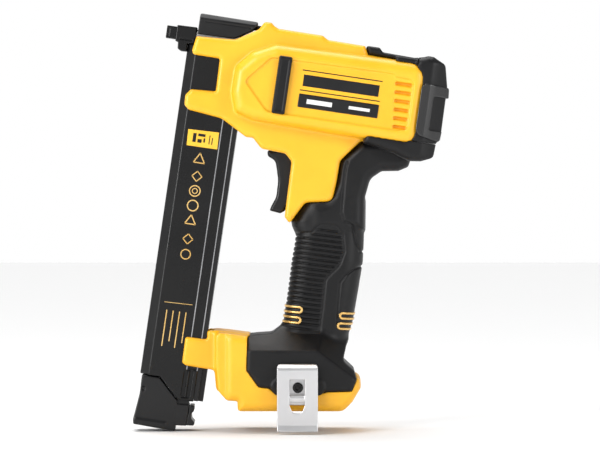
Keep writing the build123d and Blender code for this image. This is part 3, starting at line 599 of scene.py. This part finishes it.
def wrap_field(x, y, z):
    """Rubber round the head: top strip, rear end and the seal above the neck."""
    a, b = head_ab(x, z)
    strip = ext(poly(STRIP, x, z), y, 19, 2.6)
    rear = smax(ext(poly(WRAP, x, z), y, REAR_HALF, 6), rear_corner(a, y, 0), 1)
    shoulder = box(a, y, b, (164, -31, 0.5), (184, 31, 5.9), 2)
    d = smin(smin(strip, rear, 3), shoulder, 1)
    d = smax(d, 0.3 - yellow_outer(x, y, z), 0.5)
    d = smax(d, -box(a, y, b, (120, -13.4, -10), (186, 13.4, 6.0)), 0.2)
    hollow = box(a, y, b, (150, -29, -57), (200.6, 29, -3), 2)
    hollow = np.maximum(hollow, rear_corner(a, y, -SHELL_WALL))
    d = smax(d, -hollow, 0.5)
    for vent in range(-3, 4):
        hole = box(a, y, b, (190, vent * 7 - 2, -41), (210, vent * 7 + 2, -20), 1)
        d = smax(d, -hole, 0.6)
    return smax(d, 0.2 - skin_neck(x, y, z), 0.3)


def wrap_part(cut):
    """One of the three mouldings that make the wrap, parted by hairline joints."""
    def field(x, y, z):
        a, b = head_ab(x, z)
        return smax(wrap_field(x, y, z), cut(a, b), 0.3)
    return field


def bracket_field(a, y, b):
    """Glossy bracket round the head's rear corners."""
    outer = rear_corner(a, y, 1.8)
    d = smax(poly(BRACKET, a, b), outer, 0.7)
    d = smax(d, -np.maximum(outer + 1.6, a - 203.7), 0.3)
    notch = box(a, y, b, (194.3, -60, -42.6), (215, 60, -18.8), 1.2)
    return smax(d, -notch, 0.6)


def cover_field(a, y, b):
    """Jam cover over the nose, with its hinge ear."""
    d = ext(poly(COVER, a, b), y, 13.5, 0.8)
    bevel = (np.abs(y) + b - 13.5 - 16.3 + 3.4) / 1.4142
    d = smax(d, bevel, 0.6)
    rib = box(a, np.abs(y), b, (26, 13.0, 10.6), (60, 20, 11.3))
    d = smax(d, -rib, 0.3)
    d = smax(d, -box(a, y, b, (10, -10, -5), (61, 10, 6.4)), 0.4)
    ear = smax(np.hypot(a - 71, b - 11) - 3.1, np.abs(y) - 5.9, 0.4)
    arm = box(a, y, b, (60, -5.9, 9.9), (71, 5.9, 13.4), 0.5)
    return smin(smin(d, arm, 0.8), ear, 0.8)


def nose_field(a, y, b):
    """Stepped nose block, hollow for the driver."""
    d = ext(poly(NOSE, a, b), y, 11, 0.8)
    d = smax(d, -box(a, y, b, (4, -9.0, -5.0), (23, 9.0, 4.8)), 0.3)
    scratch = box(a, np.abs(y), b, (10.4, 10.5, -4.2), (19.5, 20, -3.4))
    return smax(d, -scratch, 0.3)


def trip_field(a, y, b):
    """Contact trip: a sleeve at the muzzle on a long flat arm."""
    ring = box(a, y, b, (0, -8.6, -4.6), (15, 8.6, 4.4), 0.6)
    ring = smax(ring, -box(a, y, b, (-5, -7.2, -1.6), (20, 7.2, 2.0), 0.3), 0.3)
    notch = box(a, np.abs(y), b, (-2, 7.9, -3.4), (2.4, 20, 3.2), 0.5)
    ring = smax(ring, -notch, 0.3)
    arm = box(a, y, b, (13, -3.5, 3.3), (64, 3.5, 4.3), 0.3)
    return smin(ring, arm, 0.3)


def trigger_field(x, y, z):
    """Trigger with shallow finger grooves."""
    d = ext(poly(TRIGGER, x, z), y, 7.1, 2.4)
    for index in range(5):
        zc = 170 - 5.2 * index
        dip = np.hypot(x + 17.1, z - zc) - 0.9
        d = smax(d, -np.maximum(dip, np.abs(y) - 4.6), 0.8)
    return d


def cap_field(a, y, b):
    """End cap of the magazine with its flared foot and the latch's cheeks."""
    d = ext(poly(CAP, a, b), y, 15, 1.6)
    thumb = box(a, np.abs(y), b, (13, 11.5, -255.5), (21.5, 20, -252.5), 0.8)
    d = smax(d, -thumb, 0.8)
    flare = smax(b + 275.6, a - 40, 1.0)
    d = smax(d, smin(np.abs(y) - 14.3, flare, 1.2), 1.2)
    plug = box(a, y, b, (20, -8, -252), (30, 8, -243), 0.5)
    bridge = box(a, y, b, (30, -11.2, -264), (54, 11.2, -259.6), 0.4)
    bridge = np.minimum(bridge, box(a, y, b, (44, -11.2, -268), (54, 11.2, -251.3), 0.4))
    cheek = smax(poly(CHEEK, a, b), np.abs(np.abs(y) - 12.7) - 1.3, 0.4)
    d = np.minimum(np.minimum(d, plug), np.minimum(bridge, cheek))
    return np.maximum(d, -box(a, y, b, (19, -4.6, -252.1), (36, 4.6, -230)))


def latch_field(a, y, b):
    """Magazine latch with finger ridges."""
    d = smax(ext(poly(LATCH, a, b), y, 13.8, 0.9), np.minimum(np.abs(y) - 11, 54.6 - a), 0.2)
    for index in range(3):
        bc = -264.5 - 2.4 * index
        d = smax(d, -box(a, y, b, (57.0, -8, bc - 0.5), (60, 8, bc + 0.5)), 0.4)
    return np.maximum(d, -(np.hypot(a - 51, b + 272) - 1.3))


# MAG_OUT and MAG_IN are sections in (a, y); MAG_END is in (a, b).
MAG_OUT = rounded(
    (16.5, -9, 1), (16.5, 9, 1), (23, MAG_HALF, 1), (57, MAG_HALF, 0.2),
    (57, -MAG_HALF, 0.2), (23, -MAG_HALF, 1))
MAG_IN = rounded(
    (18.2, -7.9, 1), (18.2, 7.9, 1), (24.1, MAG_INSIDE, 1), (66, MAG_INSIDE, 0),
    (66, -MAG_INSIDE, 0), (24.1, -MAG_INSIDE, 1))
MAG_END = rounded(
    (5, -243.8, 0), (30.8, -243.8, 0.4), (46.2, -258.4, 0.4), (70, -258.0, 0),
    (70, -280, 0), (5, -280, 0))


def channel_field(a, y, b):
    """Magazine channel: chamfered front, open back, latch windows."""
    d = np.maximum(poly(MAG_OUT, a, y), -poly(MAG_IN, a, y))
    d = smax(d, b + 6.4, 0.4)
    d = smax(d, -poly(MAG_END, a, b), 0.4)
    window = box(a, np.abs(y), b, (47.6, 12, -256), (53.9, 20, -236.8), 0.8)
    d = smax(d, -window, 0.3)
    step = box(a, np.abs(y), b, (49.6, 15.15, -236), (56.0, 20, -56))
    return smax(d, -step, 0.3)


# HOOK is the bent strip in (y, z); its side outline and its slot are in (x, z).
HOOK = rounded(
    (-40.15, 4.5, 0.3), (-40.15, 29.9, 2), (-42.55, 32.3, 1.5), (-44.75, 32.3, 1.5), (-47.15, 29.9, 2),
    (-47.15, -9.5, 2), (-47.95, -13.8, 0.3), (-49.45, -13.5, 0.3), (-48.65, -9.3, 2),
    (-48.65, 30.5, 3), (-45.35, 33.8, 3), (-41.95, 33.8, 3), (-38.65, 30.5, 3), (-38.65, 4.5, 0.3))
HOOK_SIDE = rounded((-16.2, -20, 0), (-16.2, 33.9, 3), (12.6, 33.9, 3), (12.6, -20, 0))
HOOK_SLOT = rounded(
    (-7.4, 23, 1), (3.4, 23, 1), (3.4, 4.7, 3), (1.2, -0.7, 3), (-5.2, -0.7, 3), (-7.4, 4.7, 3))


def hook_field(x, y, z):
    """Bent belt hook with a spring tongue in its slot."""
    d = smax(poly(HOOK, y, z), poly(HOOK_SIDE, x, z), 0.3)
    slot = np.maximum(poly(HOOK_SLOT, x, z), y + 44)
    d = smax(d, -slot, 0.3)
    bend = np.hypot(y + 42.4, z - 9.4)
    tongue = np.maximum(np.abs(bend - 4.6) - 0.6, np.abs(z - 9.4) - 2.5)
    tongue = smax(np.maximum(tongue, y + 44), np.abs(x + 2) - 5.8, 0.2)
    d = smin(d, tongue, 0.3)
    return smax(d, -(from_hook_screw(x, z) - 2.2), 0.2)


def hook_screw_field(x, y, z):
    """Belt hook screw with a hexagon socket."""
    out = from_hook_screw(x, z)
    head = smax(smax(out - 3.7, -42.75 - y, 0.7), y + 40.2, 0.2)
    across = np.abs(x - HOOK_SCREW_X)
    socket = np.maximum(across, across * 0.5 + np.abs(z - HOOK_SCREW_Z) * 0.866) - 1.6
    head = smax(head, -np.maximum(socket, y + 41.4), 0.3)
    shank = np.maximum(np.maximum(out - 1.55, y + 30.3), -41 - y)
    return np.minimum(head, shank)


def bumper_field(a, y, b):
    """Side bumper bars with a sunk middle."""
    d = box(a, np.abs(y), b, (82.4, 32.6, -46.8), (91.8, 37.4, -5.8), 1.3)
    return smax(d, -box(a, np.abs(y), b, (84.4, 36.9, -44.6), (89.8, 50, -8), 0.3), 0.5)


def plate_field(a, y, b):
    """Nameplates, left plain."""
    return box(a, np.abs(y), b, (100, 32.8, -39.9), (157, 34.3, -30.3), 0.4)


# ------------------------------------------------------------------ materials
def tree(name):
    """A fresh material with its nodes, links and main shader."""
    material = bpy.data.materials.new(name)
    material.use_nodes = True
    nodes = material.node_tree.nodes
    return material, nodes, material.node_tree.links, nodes["Principled BSDF"]


def noise(nodes, links, scale, detail, stretch=(1, 1, 1)):
    """Noise fixed to the piece, stretched along an axis for brushed or wound metal."""
    coords = nodes.new("ShaderNodeTexCoord")
    mapping = nodes.new("ShaderNodeMapping")
    mapping.inputs["Scale"].default_value = stretch
    texture = nodes.new("ShaderNodeTexNoise")
    texture.inputs["Scale"].default_value = scale
    texture.inputs["Detail"].default_value = detail
    links.new(coords.outputs["Object"], mapping.inputs["Vector"])
    links.new(mapping.outputs["Vector"], texture.inputs["Vector"])
    return texture.outputs["Fac"]


def spread(nodes, links, value, low, high):
    """Maps the middle of a noise to a range."""
    ramp = nodes.new("ShaderNodeMapRange")
    ramp.inputs["From Min"].default_value = 0.3
    ramp.inputs["From Max"].default_value = 0.7
    ramp.inputs["To Min"].default_value = low
    ramp.inputs["To Max"].default_value = high
    links.new(value, ramp.inputs["Value"])
    return ramp.outputs["Result"]


def tint(nodes, links, value, dark, light):
    mix = nodes.new("ShaderNodeMix")
    mix.data_type = "RGBA"
    mix.inputs["A"].default_value = (*dark, 1)
    mix.inputs["B"].default_value = (*light, 1)
    links.new(value, mix.inputs["Factor"])
    return mix.outputs["Result"]


def bump(nodes, links, height, strength, distance):
    node = nodes.new("ShaderNodeBump")
    node.inputs["Strength"].default_value = strength
    node.inputs["Distance"].default_value = distance
    links.new(height, node.inputs["Height"])
    return node.outputs["Normal"]


def surface(name, dark, light, rough, metal=0.0, grain=2500.0, grain_depth=0.00004, strength=0.35,
            stretch=(1, 1, 1), blotch=45.0, gloss=0.5):
    """Common finish: blotchy colour and roughness, fine grain in the bump."""
    material, nodes, links, shader = tree(name)
    broad = noise(nodes, links, blotch, 6.0)
    fine = noise(nodes, links, grain, 3.0, stretch)
    wide = spread(nodes, links, broad, 0.0, 1.0)
    links.new(tint(nodes, links, wide, dark, light), shader.inputs["Base Color"])
    links.new(spread(nodes, links, broad, rough[0], rough[1]), shader.inputs["Roughness"])
    links.new(bump(nodes, links, fine, strength, grain_depth), shader.inputs["Normal"])
    shader.inputs["Metallic"].default_value = metal
    shader.inputs["Specular IOR Level"].default_value = gloss
    return material


def yellow_plastic():
    material = surface("yellow_plastic", (0.88, 0.43, 0.008), (0.94, 0.48, 0.012), (0.34, 0.44),
                       grain=1800.0, grain_depth=0.00003, strength=0.25)
    shader = material.node_tree.nodes["Principled BSDF"]
    shader.inputs["Coat Weight"].default_value = 0.15
    shader.inputs["Coat Roughness"].default_value = 0.3
    return material


# Each finish: dark colour, light colour, roughness range, other settings of surface().
BLACK = ((0.0025, 0.0025, 0.003), (0.005, 0.005, 0.0055))
FINISHES = {
    "dark_overmould": (*BLACK, (0.38, 0.50), dict(
        grain=3200.0, grain_depth=0.00005, strength=0.4, gloss=0.3)),
    "dark_plastic": (*BLACK, (0.28, 0.40), dict(gloss=0.38)),
    "dark_gloss": ((0.003, 0.003, 0.0035), (0.006, 0.006, 0.0065), (0.16, 0.24), dict(
        gloss=0.7, strength=0.12)),
    "magazine_paint": ((0.0012, 0.0012, 0.0015), (0.0028, 0.0028, 0.003), (0.22, 0.34), dict(
        grain=900.0, strength=0.15, grain_depth=0.00003, gloss=0.32)),
    "steel": ((0.60, 0.60, 0.61), (0.68, 0.68, 0.69), (0.30, 0.40), dict(
        metal=0.85, grain=700.0, stretch=(14, 1, 1), strength=0.1, grain_depth=0.00003, blotch=18.0)),
    "spring_steel": ((0.32, 0.32, 0.34), (0.42, 0.42, 0.44), (0.25, 0.4), dict(metal=1.0)),
    "bright_trim": ((0.30, 0.30, 0.31), (0.44, 0.44, 0.45), (0.25, 0.4), dict(metal=0.9)),
    "gold_trim": ((0.70, 0.42, 0.12), (0.86, 0.58, 0.22), (0.22, 0.34), dict(metal=0.6)),
    "plate_grey": ((0.004, 0.004, 0.005), (0.008, 0.008, 0.009), (0.28, 0.36), dict(gloss=0.35)),
    "cast_frame": ((0.36, 0.36, 0.37), (0.46, 0.46, 0.47), (0.4, 0.55), dict(
        metal=1.0, grain=1200.0, strength=0.5)),
    "mark_white": ((0.70, 0.70, 0.70), (0.80, 0.80, 0.80), (0.35, 0.45), {}),
    "brass": ((0.62, 0.42, 0.14), (0.76, 0.55, 0.22), (0.22, 0.34), dict(metal=1.0)),
    "bumper_rubber": ((0.05, 0.03, 0.02), (0.08, 0.05, 0.03), (0.6, 0.75), {}),
    "copper": ((0.55, 0.24, 0.10), (0.70, 0.34, 0.16), (0.28, 0.42), dict(
        metal=0.9, grain=900.0, stretch=(1, 8, 1), strength=0.5)),
    "board": ((0.01, 0.10, 0.03), (0.02, 0.15, 0.05), (0.35, 0.5), {}),
    "label": ((0.80, 0.45, 0.02), (0.88, 0.52, 0.04), (0.3, 0.4), {}),
    "wire": ((0.35, 0.02, 0.015), (0.45, 0.03, 0.02), (0.4, 0.5), {}),
}


def all_materials():
    made = {"yellow_shell": yellow_plastic()}
    for name, (dark, light, rough, settings) in FINISHES.items():
        made[name] = surface(name, dark, light, rough, **settings)
    return made


# ------------------------------------------------------------------ making the pieces
def finish_frame_nodes():
    slots = {part["node"]: part["material_slot"] for part in frame["record"]["subparts"]}
    for name, node in frame["nodes"].items():
        node.data.materials.clear()
        node.data.materials.append(materials[slots[name]])


def finish_piece(piece, body, slot, replaced=None, finish=None):
    """Paints a piece, rides it on its body and hides the CAD node it stands in for."""
    piece.data.materials.clear()
    piece.data.materials.append(materials[finish or slot])
    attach(piece, body)
    if replaced:
        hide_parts(replaced)


def look(node, body, slot, field, lo, hi, step, head=False, finish=None):
    """A finer skin that stands in for one CAD node."""
    piece = build(f"{node}_look", field, lo, hi, step, head)
    finish_piece(piece, body, slot, node, finish)


def halves(name, maker, lo, hi, step, slot):
    """Left and right skins; the box given is the left one's, up to the middle plane."""
    for sign, side in SIDES:
        y_lo, y_hi = (lo[1], 1.0) if sign < 0 else (-1.0, -lo[1])
        look(f"{name}_{side}", "tool_body", slot, maker(sign),
             (lo[0], y_lo, lo[2]), (hi[0], y_hi, hi[2]), step)


def make_shells():
    halves("housing", housing_field, (-87, -38.5, -3), (92, 0, 285), 0.85, "yellow_shell")
    halves("overmould", overmould_field, (-41, -41, 8), (91, 0, 194), 0.62, "dark_overmould")
    look("grip_bands", "tool_body", "gold_trim", band_field, (-18, -20, 52), (48, 20, 78), 0.45)


def make_head_trims():
    look("top_strips", "tool_body", "dark_overmould", wrap_part(lambda a, b: a - 179.9),
         (42, -33, 234), (92, 33, 264), 0.7)
    look("rear_guard", "tool_body", "dark_plastic",
         wrap_part(lambda a, b: np.maximum(180.1 - a, -51.9 - b)),
         (78, -36, 184), (110, 36, 256), 0.8, finish="dark_overmould")
    look("neck_seal", "tool_body", "dark_overmould",
         wrap_part(lambda a, b: np.maximum(b + 52.1, 110 - a)),
         (42, -36, 170), (108, 36, 204), 0.8)
    bracket = build("rear_bracket_look", bracket_field, (183.5, -37.2, -52), (207, 37.2, -8.5), 0.55, True)
    finish_piece(bracket, "tool_body", "dark_plastic", finish="dark_gloss")
    look("side_bumpers", "tool_body", "dark_overmould", bumper_field,
         (81, -38.4, -48.5), (93.5, 38.4, -4), 0.6, True)
    look("nameplates", "tool_body", "plate_grey", plate_field,
         (99, -35.2, -41), (158.5, 35.2, -29), 0.45, True)


def make_nose():
    look("nose_cover", "nose_cover_body", "dark_plastic", cover_field,
         (21, -14.5, 0), (75.5, 14.5, 17.5), 0.55, True)
    look("nose_block", "tool_body", "magazine_paint", nose_field,
         (6, -12, -13.5), (22.6, 12, 7), 0.45, True)
    look("contact_trip", "contact_trip_body", "magazine_paint", trip_field,
         (-1, -9.6, -5.6), (65, 9.6, 5.4), 0.45, True)
    look("trigger", "trigger_body", "dark_plastic", trigger_field,
         (-25, -8, 138), (-1.5, 8, 187), 0.5)


def make_magazine():
    look("magazine_channel", "tool_body", "magazine_paint", channel_field,
         (15, -16.6, -260), (58.5, 16.6, -5), 0.8, True)
    look("end_cap", "tray_body", "dark_plastic", cap_field,
         (14.5, -16, -282.5), (56, 16, -242), 0.6, True)
    look("magazine_latch", "latch_body", "dark_plastic", latch_field,
         (46.5, -15, -278), (61.5, 15, -259.5), 0.5, True)
    look("belt_hook", "tool_body", "steel", hook_field,
         (-17.5, -50.5, -15.5), (14, -37.5, 35.2), 0.42)
    look("hook_screw", "tool_body", "magazine_paint", hook_screw_field,
         (-6, -43.6, 12.4), (3, -29.4, 21.4), 0.32)


# ------------------------------------------------------------------ plain marks on the magazine and head
MARK_LINE = 36.5
MARKS = ((-87, 4.6, 0.8, 3), (-99, 3.6, 0.7, 4), (-109.5, 3.8, 0.8, 20), (-109.5, 1.8, 0.7, 14),
         (-120, 3.8, 0.8, 20), (-131, 4.4, 0.8, 3), (-144, 3.6, 0.7, 4), (-155, 3.4, 0.8, 20))
GROOVE_FLOOR = ((46.6, -257.6), (54.6, -257.4), (54.6, -236.2), (46.6, -236.2))
STICKER = ((25.6, -66.6), (47.6, -66.0), (48.0, -78.0), (26.0, -78.1))
STICKER_BLOCKS = ((29.6, -71.9, 32.0, -71.9, 6.4), (33.2, -69.6, 38.4, -69.6, 2.0),
                  (33.2, -73.8, 36.2, -73.8, 2.6), (37.4, -73.0, 38.6, -73.0, 3.0),
                  (41.6, -69, 41.6, -75.4, 0.7), (43.6, -70.4, 43.6, -75.4, 0.7))
HEAD_BARS = ((100, -13.6, 157, -13.6, 0.7), (100, -27.8, 157, -27.8, 0.7),
             (101.5, -20.7, 155.5, -20.7, 8.2))
PLATE_BARS = ((106, -35.2, 124, -35.2, 3.2), (136, -35.2, 151, -35.2, 2.2))


def flat_piece(name, outlines, y, thick):
    """Thin prisms on a side face at y, from closed outlines in head places."""
    verts = []
    faces = []
    for points in outlines:
        base = len(verts)
        n = len(points)
        for level in (y, y - thick):
            for a, b in points:
                x, z, _ = hp(a, b)
                verts.append((x / 1000, level / 1000, z / 1000))
        faces.append(list(range(base + n, base + 2 * n))[::-1])
        faces.append(list(range(base, base + n)))
        for i in range(n):
            j = (i + 1) % n
            faces.append([base + j, base + i, base + n + i, base + n + j])
    return mesh_object(name, verts, faces)


def bar(a0, b0, a1, b1, width):
    """Corners of a straight bar between two head places."""
    da, db = a1 - a0, b1 - b0
    length = math.hypot(da, db)
    na, nb = -db / length * width / 2, da / length * width / 2
    return [(a0 + na, b0 + nb), (a1 + na, b1 + nb), (a1 - na, b1 - nb), (a0 - na, b0 - nb)]


def ring(a, b, radius, width, sides):
    """A ring of bars: a circle with many sides, a triangle with three."""
    bars = []
    for i in range(sides):
        t0 = 2 * math.pi * i / sides + math.pi / 2
        t1 = 2 * math.pi * (i + 1) / sides + math.pi / 2
        bars.append(bar(a + radius * math.cos(t0), b + radius * math.sin(t0),
                        a + radius * math.cos(t1), b + radius * math.sin(t1), width))
    return bars


def make_magazine_marks():
    face = -MAG_HALF
    for sign in (-1, 1):
        back = flat_piece(f"groove_floor_{sign + 1}", [GROOVE_FLOOR], 13.5 * sign, 0.12)
        finish_piece(back, "tool_body", "magazine_paint")
    label = flat_piece("label_look", [STICKER], face - 0.02, 0.12)
    finish_piece(label, "tool_body", "label", "magazine_sticker")
    blocks = flat_piece("label_block_look", [bar(*row) for row in STICKER_BLOCKS], face - 0.16, 0.05)
    finish_piece(blocks, "tool_body", "plate_grey")
    marks = []
    for b, radius, width, sides in MARKS:
        marks += ring(MARK_LINE, b, radius, width, sides)
    for index in range(4):
        a = 29 + 4.6 * index
        marks.append(bar(a, -196, a, -222 + 4 * (index % 2), 0.7))
    marks.append(bar(26.5, -190.6, 46.5, -190.0, 0.35))
    gold = flat_piece("magazine_marks_look", marks, face - 0.02, 0.06)
    finish_piece(gold, "tool_body", "label", finish="gold_trim")


def make_head_marks():
    face = -(HEAD_HALF - PANEL_DEPTH)
    bars = flat_piece("head_bars_look", [bar(*row) for row in HEAD_BARS], face, 0.18)
    finish_piece(bars, "tool_body", "plate_grey")
    pale = flat_piece("plate_marks_look", [bar(*row) for row in PLATE_BARS], -34.32, 0.06)
    finish_piece(pale, "tool_body", "bright_trim", finish="mark_white")


# ------------------------------------------------------------------ studio
def make_stage():
    """Wide matt floor just under the lowest piece."""
    corners = [(-4, -4, 0), (4, -4, 0), (4, 4, 0), (-4, 4, 0)]
    floor = mesh_object("floor", corners, [(0, 1, 2, 3)])
    floor.location = (0, 0, first_bounds[0].z - 0.0004)
    material, _, _, shader = tree("floor_paint")
    shader.inputs["Base Color"].default_value = (0.86, 0.86, 0.86, 1)
    shader.inputs["Roughness"].default_value = 0.7
    floor.data.materials.append(material)


def make_sky():
    """Soft grey room with a white band of wall all round at floor level."""
    world = bpy.data.worlds.new("studio")
    world.use_nodes = True
    nodes = world.node_tree.nodes
    links = world.node_tree.links
    coords = nodes.new("ShaderNodeTexCoord")
    split = nodes.new("ShaderNodeSeparateXYZ")
    links.new(coords.outputs["Generated"], split.inputs["Vector"])
    wall = nodes.new("ShaderNodeMapRange")
    wall.inputs["From Min"].default_value = 0.13
    wall.inputs["From Max"].default_value = 0.22
    wall.inputs["To Min"].default_value = 1.0
    wall.inputs["To Max"].default_value = 0.36
    level = nodes.new("ShaderNodeMath")
    level.operation = "ABSOLUTE"
    links.new(split.outputs["Z"], level.inputs[0])
    links.new(level.outputs["Value"], wall.inputs["Value"])
    back = nodes["Background"]
    back.inputs["Color"].default_value = (1, 1, 1, 1)
    links.new(wall.outputs["Result"], back.inputs["Strength"])
    bpy.context.scene.world = world
    bpy.context.scene.view_settings.view_transform = "Standard"


def area_light(name, location, power):
    """Square lamp that looks at the middle of the tool."""
    data = bpy.data.lights.new(name, "AREA")
    data.energy = power
    data.size = 0.6
    light = add_object(name, data)
    light.location = location
    direction = Vector((0, 0, 0.14)) - Vector(location)
    light.rotation_euler = direction.to_track_quat("-Z", "Y").to_euler()


def make_lights():
    area_light("key", (-0.9, -1.3, 1.3), 13)
    area_light("side", (-1.45, -0.85, 0.5), 13)
    area_light("fill", (1.3, -1.2, 0.5), 8)
    data = bpy.data.lights.new("ceiling", "SUN")
    data.energy = 2.3
    data.angle = math.radians(50)
    ceiling = add_object("ceiling", data)
    ceiling.rotation_euler = (math.radians(-14), math.radians(-6), 0)


make_camera()
materials = all_materials()
finish_frame_nodes()
make_shells()
make_head_trims()
make_nose()
make_magazine()
make_magazine_marks()
make_head_marks()
make_stage()
make_sky()
make_lights()
